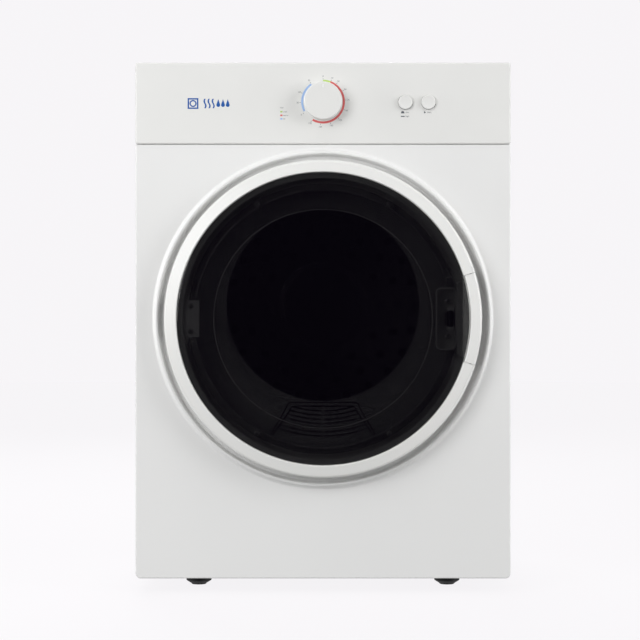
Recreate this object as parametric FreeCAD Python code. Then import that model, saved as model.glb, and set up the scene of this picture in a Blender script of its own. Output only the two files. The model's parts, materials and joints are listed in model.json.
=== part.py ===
import FreeCAD, Part
import math
import os

# Free-standing vented clothes dryer, millimetres. Front is -Y, up is +Z, the floor is z = 0.
WIDTH = 595.0
HEIGHT = 840.0
HALF_W = WIDTH / 2
FOOT_H = 22.0
PANEL_TOP = 710.6
FASCIA_BOTTOM = 711.0
BODY_TOP = 815.0
FRONT_Y = -240.0
FASCIA_Y = -243.0
REAR_Y = 235.0
SHEET = 0.8

DOOR_Z = 434.0
RING_R = 250.0
COVER_R = 229.8
RECESS_Y = -232.0
DOOR_BACK_Y = -237.0
HINGE_X = -240.0
HINGE_Y = -258.0
GRIP_ANGLE = 17.0
GRIP_PIN_X = 232.0
GRIP_PIN_Y = -268.0
HOOK_X = 201.0
HOOK_Y = -252.0
LATCH_SCREW_X = 198.0
FRAME_IN_R = 203.0
BOWL_SCREW_R = 209.0
BOWL_R = 213.5

PLATE_Y = -205.0
MOUTH_R = 155.0
DRUM_Z = 457.0
DRUM_R = 280.0
DRUM_LIP_R = 200.0
DRUM_REAR_Y = 178.0

MOTOR_X = 170.0
MOTOR_Z = 130.0
PULLEY_R = 6.0
IDLER_X = 125.0
IDLER_Z = 128.0
IDLER_R = 12.0
ARM_X = 175.0
ARM_Z = 80.0
BELT_GAP = 0.3
DUCT_X = 57.0
DUCT_Z = 95.0
DUCT_R = 48.0
OUTLET_R = 47.5

KNOB_Z = 778.0
BUTTON_Z = 777.0
BUTTON_X = (130.5, 167.0)
FEET = ((-203.0, -140.0), (203.0, -140.0), (-203.0, 185.0), (203.0, 185.0))
REAR_SCREWS = [(x, z) for x in (-289.0, 289.0) for z in (80.0, 300.0, 600.0, 790.0)]
COVER_SCREW_ANGLES = (30, 90, 150, 210, 270, 330)


def V(x, y, z):
    return FreeCAD.Vector(x, y, z)


def box(x0, x1, y0, y1, z0, z1):
    return Part.makeBox(x1 - x0, y1 - y0, z1 - z0, V(x0, y0, z0))


def rod_y(x, z, r, y0, y1):
    return Part.makeCylinder(r, y1 - y0, V(x, y0, z), V(0, 1, 0))


def rod_z(x, y, r, z0, z1):
    return Part.makeCylinder(r, z1 - z0, V(x, y, z0), V(0, 0, 1))


def tube_y(x, z, r_in, r_out, y0, y1):
    return rod_y(x, z, r_out, y0, y1).cut(rod_y(x, z, r_in, y0 - 1, y1 + 1))


def joined(shapes):
    return shapes[0].multiFuse(shapes[1:]).removeSplitter() if len(shapes) > 1 else shapes[0]


def without(shape, tools):
    return shape.cut(tools) if tools else shape


def polar(radius, degrees, z=0.0):
    """A point on a circle in the XZ plane, angle counted from +X towards +Z."""
    a = math.radians(degrees)
    return radius * math.cos(a), z + radius * math.sin(a)


def corner_cut(before, corner, after, radius):
    """The two tangent points and the middle of a rounded corner."""
    ua, ub = before[0] - corner[0], before[1] - corner[1]
    va, vb = after[0] - corner[0], after[1] - corner[1]
    lu, lv = math.hypot(ua, ub), math.hypot(va, vb)
    ua, ub, va, vb = ua / lu, ub / lu, va / lv, vb / lv
    half = math.acos(max(-1.0, min(1.0, ua * va + ub * vb))) / 2
    reach = radius / math.tan(half)
    wa, wb = ua + va, ub + vb
    lw = math.hypot(wa, wb)
    far = radius / math.sin(half)
    mid = (corner[0] + wa / lw * (far - radius), corner[1] + wb / lw * (far - radius))
    first = (corner[0] + ua * reach, corner[1] + ub * reach)
    last = (corner[0] + va * reach, corner[1] + vb * reach)
    return first, mid, last


def outline(points, place):
    """A closed face from 2D points; a point's third value rounds its corner."""
    count = len(points)
    edges = []
    ends = []
    for i, p in enumerate(points):
        radius = p[2] if len(p) > 2 else 0
        if radius > 0:
            first, mid, last = corner_cut(points[i - 1], p, points[(i + 1) % count], radius)
            ends.append((first, last, mid))
        else:
            ends.append((p[:2], p[:2], None))
    for i, (first, last, mid) in enumerate(ends):
        if mid is not None:
            edges.append(Part.Arc(place(*first), place(*mid), place(*last)).toShape())
        start = place(*last)
        stop = place(*ends[(i + 1) % count][0])
        if start.distanceToPoint(stop) > 1e-6:
            edges.append(Part.makeLine(start, stop))
    return Part.Face(Part.Wire(edges))


def prism_y(points, y0, y1):
    return outline(points, lambda a, b: V(a, y0, b)).extrude(V(0, y1 - y0, 0))


def prism_x(points, x0, x1):
    return outline(points, lambda a, b: V(x0, a, b)).extrude(V(x1 - x0, 0, 0))


def prism_z(points, z0, z1):
    return outline(points, lambda a, b: V(a, b, z0)).extrude(V(0, 0, z1 - z0))


def turned(points, x, z, start=0.0, sweep=360.0):
    """A (radius, y) outline turned about an axis parallel to Y through (x, z)."""
    face = outline(points, lambda a, b: V(x + a, b, z))
    if start:
        face.rotate(V(x, 0, z), V(0, 1, 0), start)
    return face.revolve(V(x, 0, z), V(0, 1, 0), sweep)


def strip(points, thickness):
    """The closed outline of a sheet that follows an open path, thickened to its left."""
    side = []
    for i, p in enumerate(points):
        radius = p[2] if len(p) > 2 else 0
        before = points[i - 1] if i else None
        after = points[i + 1] if i + 1 < len(points) else None
        normals = []
        for a, b in ((before, p), (p, after)):
            if a is None or b is None:
                continue
            length = math.hypot(b[0] - a[0], b[1] - a[1])
            normals.append(((a[1] - b[1]) / length, (b[0] - a[0]) / length))
        if len(normals) == 1:
            nx, ny = normals[0]
            side.append((p[0] + nx * thickness, p[1] + ny * thickness))
            continue
        (ax, ay), (bx, by) = normals
        scale = thickness / (1 + ax * bx + ay * by)
        turn = ax * by - ay * bx
        inner = radius - thickness if turn > 0 else radius + thickness
        inner = max(inner, 0) if radius > 0 else 0
        side.append((p[0] + (ax + bx) * scale, p[1] + (ay + by) * scale, inner))
    return list(points) + side[::-1]


def rectangle(a0, a1, b0, b1, radius):
    return [(a0, b0, radius), (a1, b0, radius), (a1, b1, radius), (a0, b1, radius)]


def edges_at_y(shape, y):
    found = []
    for edge in shape.Edges:
        b = edge.BoundBox
        if abs(b.YMin - y) < 1e-6 and abs(b.YMax - y) < 1e-6:
            found.append(edge)
    return found


def dished_box(points, inner_points, y0, y1, wall, radius):
    """A shallow pan open at the back, its front edge rounded all round."""
    outer = prism_y(points, y0, y1)
    outer = outer.makeFillet(radius, edges_at_y(outer, y0))
    inner = prism_y(inner_points, y0 + wall, y1 + 1)
    inner = inner.makeFillet(max(radius - wall, 0.4), edges_at_y(inner, y0 + wall))
    return outer.cut(inner)


def rear_screw(x, z, y):
    head = turned([(0, y), (4.5, y), (4.5, y + 1.2), (2.6, y + 2.6), (0, y + 2.6)], x, z)
    head = head.cut(box(x - 2, x + 2, y + 1.2, y + 3, z - 0.5, z + 0.5))
    head = head.cut(box(x - 0.5, x + 0.5, y + 1.2, y + 3, z - 2, z + 2))
    return head.fuse(rod_y(x, z, 2.0, y - 6, y))


def front_screw(x, z, y, depth):
    head = turned([(0, y), (4.2, y), (4.2, y - 1.0), (2.4, y - 2.2), (0, y - 2.2)], x, z)
    head = head.cut(box(x - 1.9, x + 1.9, y - 3, y - 1.0, z - 0.5, z + 0.5))
    head = head.cut(box(x - 0.5, x + 0.5, y - 3, y - 1.0, z - 1.9, z + 1.9))
    return head.fuse(rod_y(x, z, 1.8, y, y + depth))


# Cabinet --------------------------------------------------------------------------------------


def weld_nut(x, y):
    corners = [(x + 9 * math.cos(math.radians(a)), y + 9 * math.sin(math.radians(a))) for a in range(0, 360, 60)]
    return prism_z(corners, FOOT_H + 1, FOOT_H + 9)


def base_tray():
    walls = box(-294.5, 294.5, -220, 233, FOOT_H, 60)
    tray = walls.cut(box(-293.3, 293.3, -218.8, 231.8, FOOT_H + 1.2, 61))
    ribs = [box(-293.3, 293.3, y, y + 2, FOOT_H + 1.2, 30) for y in (-100.0, 100.0)]
    holes = [rod_z(x, y, 4.06, 20, 40) for x, y in FEET]
    holes.append(rod_y(DUCT_X, DUCT_Z, DUCT_R + 0.5, 230, 235))
    return without(joined([tray] + ribs + [weld_nut(x, y) for x, y in FEET]), holes)


def side_panel(side):
    lower = box(295.7, 296.5, -221.5, 234.2, 60.2, PANEL_TOP)
    skirt = box(295.7, 296.5, -221.5, 234.2, 23, 60.2)
    upper = box(295.7, 296.5, -204.5, 234.2, PANEL_TOP, BODY_TOP)
    flange = box(282, 296.5, 233.4, 234.2, 62, BODY_TOP)
    top_flange = box(282, 296.5, -190, 233.4, BODY_TOP - SHEET, BODY_TOP)
    panel = joined([lower, skirt, upper, flange, top_flange])
    field = rectangle(-150, 180, 130, 660, 40)
    panel = panel.cut(prism_x(field, 290, 300))
    walls = prism_x(field, 293.7, 296.5).cut(prism_x(rectangle(-149.2, 179.2, 130.8, 659.2, 39.2), 290, 300))
    floor = prism_x(field, 293.7, 294.5)
    panel = joined([panel, walls, floor])
    panel = without(panel, [rod_y(289, z, 2.0, 225, 240) for x, z in REAR_SCREWS if x > 0])
    if side < 0:
        return panel.mirror(V(0, 0, 0), V(1, 0, 0))
    return panel


def back_panel():
    panel = prism_y(rectangle(-295.5, 295.5, 24, BODY_TOP - 0.5, 4), 234.2, REAR_Y)
    holes = [rod_y(0, DRUM_Z, 190, 230, 240), rod_y(DUCT_X, DUCT_Z, DUCT_R + 0.5, 230, 240)]
    holes += [rod_y(-200, 120, 9, 230, 240)]
    holes += [rod_y(x, z, 2.0, 225, 240) for x, z in REAR_SCREWS]
    for angle in COVER_SCREW_ANGLES:
        x, z = polar(243, angle, DRUM_Z)
        holes.append(rod_y(x, z, 2.0, 225, 240))
    return without(panel, holes)


def back_cover():
    path = [(252, REAR_Y), (236, REAR_Y, 3), (228, 262, 8), (60, 262, 3), (52, 257, 3), (0, 257)]
    cover = turned(strip(path, -SHEET), 0, DRUM_Z)
    slots = []
    for row in range(4):
        r = 110 + row * 26
        for middle in (45, 135, 225, 315):
            ring = tube_y(0, DRUM_Z, r, r + 7, 250, 270)
            x1, z1 = polar(300, middle - 32)
            x2, z2 = polar(300, middle + 32)
            wedge = prism_y([(0, DRUM_Z), (x1, DRUM_Z + z1), (x2, DRUM_Z + z2)], 250, 270)
            slots.append(ring.common(wedge))
    for angle in COVER_SCREW_ANGLES:
        x, z = polar(243, angle, DRUM_Z)
        slots.append(rod_y(x, z, 2.0, 225, 250))
    return without(cover, slots)


def worktop():
    top = box(-HALF_W, HALF_W, -204.5, 240, BODY_TOP, HEIGHT)
    rounded = []
    for edge in top.Edges:
        b = edge.BoundBox
        sides = b.ZMin > HEIGHT - 1 and b.YMax > -200
        uprights = b.YMin > 239 and b.ZMax - b.ZMin > 20
        if sides or uprights:
            rounded.append(edge)
    top = top.makeFillet(4, rounded)
    hollow = box(-HALF_W + 3, HALF_W - 3, -201.5, 237, BODY_TOP - 1, HEIGHT - 5)
    ledges = [box(s * 288 - 6.5, s * 288 + 6.5, -201.5, 237, BODY_TOP, BODY_TOP + 3) for s in (-1, 1)]
    ribs = [box(x - 1, x + 1, -201.5, 237, HEIGHT - 13, HEIGHT - 5) for x in (-180, -60, 60, 180)]
    return joined([top.cut(hollow)] + ribs + ledges)


def front_panel():
    outer = [(-HALF_W, FOOT_H, 8), (HALF_W, FOOT_H, 8), (HALF_W, PANEL_TOP, 2), (-HALF_W, PANEL_TOP, 2)]
    w, lo, hi = HALF_W - SHEET, FOOT_H + SHEET, PANEL_TOP - SHEET
    inner = [(-w, lo, 7.2), (w, lo, 7.2), (w, hi, 1.2), (-w, hi, 1.2)]
    pan = dished_box(outer, inner, FRONT_Y, -222, SHEET, 1.8)
    pan = pan.cut(rod_y(0, DOOR_Z, 274, -250, -230))
    bead = [(274, FRONT_Y), (269.5, FRONT_Y, 4), (265, -245.6, 2.2), (261.4, -244.8, 1.8),
            (258.4, RECESS_Y, 1.6), (222, RECESS_Y)]
    x, z = switch_place()
    panel = joined([pan, turned(strip(bead[::-1], SHEET), 0, DOOR_Z)])
    return panel.cut(rod_y(x, z, 6, -235, -225))


def grille_field(grow, y0, y1):
    bottom, top = 234.0 - grow, 301.0 + grow
    points = [(-92 - grow, bottom, 12), (92 + grow, bottom, 12), (54 + grow, top, 8), (-54 - grow, top, 8)]
    return prism_y(points, y0, y1)


def grille_slots():
    field = grille_field(-7, -210, -200).common(rod_y(0, DOOR_Z, 200, -210, -200))
    slots = []
    for row in range(8):
        r = MOUTH_R + 8 + row * 6.7
        slots.append(tube_y(0, DRUM_Z, r, r + 2.6, -210, -200).common(field))
    return without(joined(slots), [box(-2.5, 2.5, -215, -195, 200, 320)])


def front_bulkhead():
    plate = box(-295.6, 295.6, PLATE_Y, PLATE_Y + SHEET, 24, 706)
    returns = [box(s * 295.2 - 0.4, s * 295.2 + 0.4, PLATE_Y, -186, 61, 706) for s in (-1, 1)]
    plate = joined([plate] + returns)
    plate = plate.cut(rod_y(0, DOOR_Z, 220.6, -206, -204.0))
    plate = joined([plate, box(-225, 225, PLATE_Y, PLATE_Y + SHEET, DOOR_Z - 225, DOOR_Z + 225)])
    wall = turned(strip([(238, -231.2), (221, -231.2, 2), (221, PLATE_Y + 0.4)], -SHEET), 0, DOOR_Z)
    mouth = rod_y(0, DRUM_Z, MOUTH_R, -215, -190)
    rim = tube_y(0, DRUM_Z, MOUTH_R, MOUTH_R + 1, PLATE_Y, -200.5)
    border = grille_field(0, -206.2, PLATE_Y).common(rod_y(0, DOOR_Z, 207, -210, -200))
    inside = grille_field(-4, -210, -200).common(rod_y(0, DOOR_Z, 203, -210, -200))
    frame = border.cut(inside)
    body = joined([joined([plate, wall, frame]).cut(mouth), rim])
    notch = box(-56, 56, -204.2, -199, 280, 310)
    corners = [box(s * 295 - 1.7, s * 295 + 1.7, -206, -204, 20, 60.5) for s in (-1, 1)]
    return without(body, [grille_slots(), notch] + corners)


def drum_collar():
    collar = tube_y(0, DRUM_Z, 192, 197, PLATE_Y + SHEET, -168)
    return collar.cut(box(-56, 56, -204.5, -184, 240, 300))


def control_panel():
    outer = rectangle(-HALF_W, HALF_W, FASCIA_BOTTOM, HEIGHT, 3)
    w = HALF_W - 2.5
    inner = rectangle(-w, w, FASCIA_BOTTOM + 2.5, HEIGHT - 2.5, 0.5)
    shell = dished_box(outer, inner, FASCIA_Y, -205, 2.5, 2.5)
    bezels = [tube_y(x, BUTTON_Z, 11.9, 13.4, FASCIA_Y - 0.7, FASCIA_Y + 1) for x in BUTTON_X]
    shell = joined([shell] + bezels)
    holes = [rod_y(x, BUTTON_Z, 11.9, -250, -235) for x in BUTTON_X]
    holes.append(rod_y(0, KNOB_Z, 6, -250, -235))
    return without(shell, holes)


def vent_collar():
    flange = rod_y(DUCT_X, DUCT_Z, 62, REAR_Y, REAR_Y + 3)
    pipe = rod_y(DUCT_X, DUCT_Z, 50, REAR_Y, 280)
    bead = tube_y(DUCT_X, DUCT_Z, 49, 51, 270, 272)
    holes = [rod_y(DUCT_X, DUCT_Z, DUCT_R + 0.1, 230, 240), rod_y(DUCT_X, DUCT_Z, OUTLET_R, 239, 290)]
    return without(joined([flange, pipe, bead]), holes)


def exhaust_duct():
    return tube_y(DUCT_X, DUCT_Z, DUCT_R - 2, DUCT_R, -112, 239.8)


def lint_duct():
    tall = box(-64, 64, PLATE_Y + SHEET, -172, 66, 252)
    wide = box(60, 252, PLATE_Y + SHEET, -172, 66, 206)
    shell = joined([tall, wide])
    inside = joined([box(-62, 62, -206, -174, 68, 250), box(60, 250, -206, -174, 68, 204)])
    slot = box(-56, 56, -200.5, -184.5, 240, 260)
    return without(shell, [inside, slot, rod_y(MOTOR_X, MOTOR_Z, 45, -180, -170)])


def blower_housing():
    scroll = joined([rod_y(MOTOR_X, MOTOR_Z, 84, -172, -110), box(5, MOTOR_X, -172, -110, 46, 146)])
    hollow = joined([rod_y(MOTOR_X, MOTOR_Z, 81.5, -170, -112), box(7, MOTOR_X, -170, -112, 48, 144)])
    holes = [hollow, rod_y(MOTOR_X, MOTOR_Z, 45, -175, -165), rod_y(MOTOR_X, MOTOR_Z, 9, -115, -100)]
    holes.append(rod_y(DUCT_X, DUCT_Z, DUCT_R, -115, -100))
    return without(scroll, holes)


def motor_body():
    can = rod_y(MOTOR_X, MOTOR_Z, 62, -100, 20)
    bosses = [rod_y(MOTOR_X, MOTOR_Z, 22, -106, -100), rod_y(MOTOR_X, MOTOR_Z, 22, 20, 26)]
    slots = []
    for i in range(12):
        x, z = polar(48, i * 30, MOTOR_Z)
        slots.append(rod_y(MOTOR_X + x, z, 6, 14, 22))
    slots.append(rod_y(MOTOR_X, MOTOR_Z, PULLEY_R + 0.06, -110, 30))
    return without(joined([can] + bosses), slots)


def motor_bracket():
    floor = FOOT_H + 1.2
    pieces = [box(112, 228, -92, 14, floor, floor + 3)]
    for y in (-92.0, 10.0):
        plate = prism_y([(112, floor), (228, floor), (222, 126, 6), (118, 126, 6)], y, y + 4)
        pieces.append(plate.cut(rod_y(MOTOR_X, MOTOR_Z, 62, y - 1, y + 5)))
    post = joined([box(162, 188, 80, 83, floor, 92), box(162, 188, 60, 83, floor, floor + 3)])
    tie = box(162, 188, 10, 62, floor, floor + 3)
    pieces += [post, tie, rod_y(ARM_X, ARM_Z, 4, 73.5, 81)]
    return joined(pieces)


def front_felt_seal():
    return tube_y(0, DRUM_Z, 197, 199.6, -181, -175)


def drum_glides():
    ring = [(197, -174), (199.65, -174), (199.65, -169), (197, -169)]
    return Part.makeCompound([turned(ring, 0, DRUM_Z, start, 30) for start in (45, 105)])


def rear_bearing_bracket():
    web = box(-281.8, 281.8, 212, 214, 434, 480)
    feet = [box(s * 245 - 36.8, s * 245 + 36.8, 212, 234.2, 434, 480) for s in (-1, 1)]
    hollow = [box(s * 245 - 34.8, s * 245 + 34.8, 214, 240, 430, 478) for s in (-1, 1)]
    housing = rod_y(0, DRUM_Z, 24, 204, 226)
    return without(joined([web] + feet + [housing]), hollow + [rod_y(0, DRUM_Z, 10.06, 195, 240)])


def heater_element():
    coils = [Part.makeTorus(r, 4, V(0, 196, DRUM_Z), V(0, 1, 0)) for r in (205, 222)]
    legs = []
    for angle in (40, 140, 220, 320):
        x, z = polar(213.5, angle, DRUM_Z)
        bar = box(-14, 14, 196, 199, -4, 4)
        bar.rotate(V(0, 0, 0), V(0, 1, 0), -angle)
        bar.translate(V(x, 0, z))
        legs += [bar, rod_y(x, z, 3, 198, 234.2)]
    return joined(coils + legs)


def tangent(a, b):
    """Where a belt leaves circle a and meets circle b; a negative radius is a back bend."""
    dx, dz = b[0] - a[0], b[1] - a[1]
    gap = math.hypot(dx, dz)
    t = math.atan2(dz, dx) - math.asin((b[2] - a[2]) / gap)
    nx, nz = -math.sin(t), math.cos(t)
    return (a[0] - nx * a[2], a[1] - nz * a[2]), (b[0] - nx * b[2], b[1] - nz * b[2])


def belt_loop(circles, y):
    count = len(circles)
    runs = [tangent(circles[i], circles[(i + 1) % count]) for i in range(count)]
    edges = []
    for i, (cx, cz, r) in enumerate(circles):
        start, stop = runs[i - 1][1], runs[i][0]
        a = math.atan2(start[1] - cz, start[0] - cx)
        b = math.atan2(stop[1] - cz, stop[0] - cx)
        sweep = (b - a) % (2 * math.pi)
        if r < 0:
            sweep -= 2 * math.pi
        m = a + sweep / 2
        mid = V(cx + abs(r) * math.cos(m), y, cz + abs(r) * math.sin(m))
        edges.append(Part.Arc(V(start[0], y, start[1]), mid, V(stop[0], y, stop[1])).toShape())
        edges.append(Part.makeLine(V(stop[0], y, stop[1]), V(runs[i][1][0], y, runs[i][1][1])))
    return Part.Face(Part.Wire(edges))


def belt_circles(shift):
    drum = (0.0, DRUM_Z, DRUM_R + BELT_GAP + shift)
    idler = (IDLER_X, IDLER_Z, -(IDLER_R + BELT_GAP + 1.6) + shift)
    motor = (MOTOR_X, MOTOR_Z, PULLEY_R + BELT_GAP + shift)
    return [drum, idler, motor]


def drive_belt():
    outer = belt_loop(belt_circles(1.6), 63).extrude(V(0, 8, 0))
    inner = belt_loop(belt_circles(0.0), 62).extrude(V(0, 10, 0))
    return outer.cut(inner)


def timer_body():
    case = prism_y(rectangle(-28, 28, KNOB_Z - 27, KNOB_Z + 27, 4), -240.5, -198)
    terminals = [box(x - 3, x + 3, -198, -190, KNOB_Z - 18, KNOB_Z - 17) for x in (-18, -6, 6, 18)]
    return without(joined([case] + terminals), [rod_y(0, KNOB_Z, 3.06, -245, -222)])


def button_switches():
    parts = []
    for x in BUTTON_X:
        guide = tube_y(x, BUTTON_Z, 12.2, 14, -240.5, -225)
        case = box(x - 14, x + 14, -225, -205, BUTTON_Z - 14, BUTTON_Z + 14)
        parts.append(joined([guide, case]))
    return Part.makeCompound(parts)


def switch_place():
    return polar(244.6, 52, DOOR_Z)


def door_switch():
    x, z = switch_place()
    flange = rod_y(x, z, 8, RECESS_Y - 0.8, RECESS_Y)
    body = rod_y(x, z, 6.0, RECESS_Y, -212)
    return without(joined([flange, body]), [rod_y(x, z, 3.1, -240, -216)])


def door_switch_plunger():
    x, z = switch_place()
    points = [(0, -236.6), (2.2, -236.6), (3.0, -235.8), (3.0, -220), (0, -220)]
    return turned(points, x, z)


def latch_catch():
    legs = [box(198, 208.5, -223, PLATE_Y, DOOR_Z + s * 12 - 1, DOOR_Z + s * 12 + 1) for s in (-1, 1)]
    plate = box(192, 208, -207, PLATE_Y, DOOR_Z - 22, DOOR_Z + 22)
    bar = rod_z(207, -221, 1.5, DOOR_Z - 11.5, DOOR_Z + 11.5)
    return joined([plate] + legs + [bar])


def hinge_fixed_leaf():
    z0, z1 = DOOR_Z - 12, DOOR_Z + 12
    barrel = rod_z(HINGE_X, HINGE_Y, 5, z0, z1)
    arm = box(HINGE_X, -225, HINGE_Y - 1, HINGE_Y + 1, z0, z1)
    web = box(-227, -225, HINGE_Y - 1, RECESS_Y - 1.2, z0, z1)
    plate = box(-255, -225, RECESS_Y - 1.2, RECESS_Y, DOOR_Z - 24, DOOR_Z + 24)
    leaf = joined([barrel, arm, web, plate])
    holes = [rod_z(HINGE_X, HINGE_Y, 3.06, z0 - 1, z1 + 1)]
    holes += [rod_y(-245, DOOR_Z + s * 18, 2.0, -240, -230) for s in (-1, 1)]
    return without(leaf, holes)


def cable_gland():
    flange = prism_y([polar(14, a, 0) for a in range(0, 360, 60)], REAR_Y, REAR_Y + 7)
    flange.translate(V(-200, 0, 120))
    barrel = rod_y(-200, 120, 9, 226, REAR_Y)
    lip = rod_y(-200, 120, 9, REAR_Y + 7, REAR_Y + 14)
    return without(joined([flange, barrel, lip]), [rod_y(-200, 120, 4.5, 220, 260)])


def cabinet_screws():
    screws = [rear_screw(x, z, REAR_Y) for x, z in REAR_SCREWS]
    for angle in COVER_SCREW_ANGLES:
        x, z = polar(243, angle, DRUM_Z)
        screws.append(rear_screw(x, z, REAR_Y + SHEET))
    return Part.makeCompound(screws)


def door_seal():
    path = [(212, -205.2), (212, -212, 1.5), (217.5, -217, 1.5), (212, -223, 1.5), (217.5, -229, 1.5), (212.5, -236.6)]
    foot = [(210, -206.6), (219.8, -206.6), (219.8, -205), (210, -205)]
    ring = joined([turned(strip(path, -1.6), 0, DOOR_Z), turned(foot, 0, DOOR_Z)])
    return ring.cut(box(-300, 300, -205.0, -200, 0, 800))


# Door -----------------------------------------------------------------------------------------


def wedge(angle, y0, y1, r_in=215.0):
    """The sector at the grip side, kept clear of everything nearer the door's middle."""
    x1, z1 = polar(300, angle)
    points = [(0, DOOR_Z), (x1, DOOR_Z - z1), (x1, DOOR_Z + z1)]
    return prism_y(points, y0, y1).cut(rod_y(0, DOOR_Z, r_in, y0 - 1, y1 + 1))


def door_ring():
    path = [(RING_R, DOOR_BACK_Y), (RING_R, -272, 5), (230.5, -276.5, 1.4), (230.5, -268.8), (221, -268.8)]
    ring = turned(strip(path, -2.5), 0, DOOR_Z)
    ring = ring.cut(wedge(GRIP_ANGLE + 0.1, -280, -230))
    bosses = []
    for s in (-1, 1):
        z0, z1 = sorted((DOOR_Z + s * 75.5, DOOR_Z + s * 82))
        bosses.append(box(228, 235, -273.2, -264, z0, z1))
    ring = joined([ring] + bosses)
    cuts = [box(-255, -236, -263, -230, DOOR_Z - 30, DOOR_Z + 30)]
    cuts.append(rod_z(GRIP_PIN_X, GRIP_PIN_Y, 2, DOOR_Z - 81, DOOR_Z + 81))
    return without(ring, cuts)


def door_cover():
    crown, edge, wall = -280.0, -272.0, 3.0
    rise = edge - crown
    ball = (COVER_R ** 2 + rise ** 2) / (2 * rise)
    half = COVER_R / 2
    middle = ball - math.sqrt(ball ** 2 - half ** 2)
    front = Part.Arc(V(0, crown, DOOR_Z), V(half, crown + middle, DOOR_Z), V(COVER_R, edge, DOOR_Z))
    back = Part.Arc(V(COVER_R, edge + wall, DOOR_Z), V(half, crown + wall + middle, DOOR_Z), V(0, crown + wall, DOOR_Z))
    rim = Part.makeLine(V(COVER_R, edge, DOOR_Z), V(COVER_R, edge + wall, DOOR_Z))
    axis = Part.makeLine(V(0, crown + wall, DOOR_Z), V(0, crown, DOOR_Z))
    face = Part.Face(Part.Wire([front.toShape(), rim, back.toShape(), axis]))
    return face.revolve(V(0, 0, DOOR_Z), V(0, 1, 0), 360)


def door_bowl():
    path = [(0, -212), (110, -212, 60), (158, -209, 10), (172, -252, 3), (173.5, -255, 1), (BOWL_R, -255)]
    bowl = turned(strip(path, -3), 0, DOOR_Z)
    holes = []
    for angle in (60, 120, 240, 300):
        x, z = polar(BOWL_SCREW_R, angle, DOOR_Z)
        holes.append(rod_y(x, z, 1.8, -262, -250))
    holes += [rod_y(-208, DOOR_Z + s * 20, 5.2, -262, -250) for s in (-1, 1)]
    holes.append(prism_y(rectangle(177.5, 220, DOOR_Z - 49.5, DOOR_Z + 49.5, 9), -262, -254.9))
    return without(bowl, holes)


def door_inner_frame():
    plate = tube_y(0, DOOR_Z, FRAME_IN_R, 247.4, -240, DOOR_BACK_Y)
    lip = tube_y(0, DOOR_Z, FRAME_IN_R, FRAME_IN_R + 2, -255, -240)
    tab = prism_y(rectangle(178, 215, DOOR_Z - 49, DOOR_Z + 49, 9), -240, DOOR_BACK_Y)
    outer_lip = tube_y(0, DOOR_Z, 243, 245, -250, -240)
    bosses = [rod_y(-208, DOOR_Z + s * 20, 5, -260, -239) for s in (-1, 1)]
    lugs = [box(196.5, 207, -258, -239, DOOR_Z + s * 15 - 2, DOOR_Z + s * 15 + 2) for s in (-1, 1)]
    pads = []
    for angle in (60, 120, 240, 300):
        x, z = polar(BOWL_SCREW_R, angle, DOOR_Z)
        pads.append(rod_y(x, z, 5, -255, -239))
    rim = prism_y(rectangle(178, 210.6, DOOR_Z - 49, DOOR_Z + 49, 9), -258, -239)
    pocket = prism_y(rectangle(180, 208.8, DOOR_Z - 47, DOOR_Z + 47, 7), -260, -240)
    rim, lip = rim.cut(pocket), lip.cut(pocket)
    latch_pads = [rod_y(LATCH_SCREW_X, DOOR_Z + s * 28, 5, -246, -239) for s in (-1, 1)]
    boss = tube_y(200, DOOR_Z + 78, 3, 6, -250, -239)
    frame = joined([plate, tab, lip, outer_lip, rim, boss] + bosses + lugs + pads + latch_pads)
    cuts = [box(-255, -215.5, -262, -230, DOOR_Z - 15, DOOR_Z + 15)]
    cuts.append(box(-255, -236, -262, -230, DOOR_Z - 30, DOOR_Z + 30))
    cuts.append(box(193, 206.6, -245, -230, DOOR_Z - 10.5, DOOR_Z + 10.5))
    cuts.append(rod_z(HOOK_X, HOOK_Y, 3.06, DOOR_Z - 20, DOOR_Z + 20))
    cuts.append(wedge(GRIP_ANGLE, -262, -240, 236.0))
    cuts += [rod_y(-208, DOOR_Z + s * 20, 1.8, -265, -245) for s in (-1, 1)]
    cuts += [rod_y(LATCH_SCREW_X, DOOR_Z + s * 28, 1.8, -250, -241) for s in (-1, 1)]
    return without(frame, cuts)


def hinge_door_leaf():
    leaf = box(-237, -195, HINGE_Y - 4.2, HINGE_Y - 2.0, DOOR_Z - 29, DOOR_Z + 29)
    parts = [leaf]
    cuts = [rod_y(-208, DOOR_Z + s * 20, 1.8, -265, -245) for s in (-1, 1)]
    for s in (-1, 1):
        z0, z1 = sorted((DOOR_Z + s * 12.6, DOOR_Z + s * 27))
        parts.append(rod_z(HINGE_X, HINGE_Y, 5, z0, z1))
        parts.append(box(HINGE_X, -232, HINGE_Y - 4.2, HINGE_Y - 1, z0, z1))
    cuts.append(rod_z(HINGE_X, HINGE_Y, 3, DOOR_Z - 30, DOOR_Z + 30))
    cuts.append(rod_z(HINGE_X, HINGE_Y, 4.7, DOOR_Z + 27, DOOR_Z + 30))
    cuts.append(rod_z(HINGE_X, HINGE_Y, 5.6, DOOR_Z - 12.6, DOOR_Z + 12.6))
    return without(joined(parts), cuts)


def hinge_pin():
    pin = rod_z(HINGE_X, HINGE_Y, 3, DOOR_Z - 28, DOOR_Z + 28)
    return joined([pin, rod_z(HINGE_X, HINGE_Y, 4.6, DOOR_Z + 27, DOOR_Z + 29)])


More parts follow.
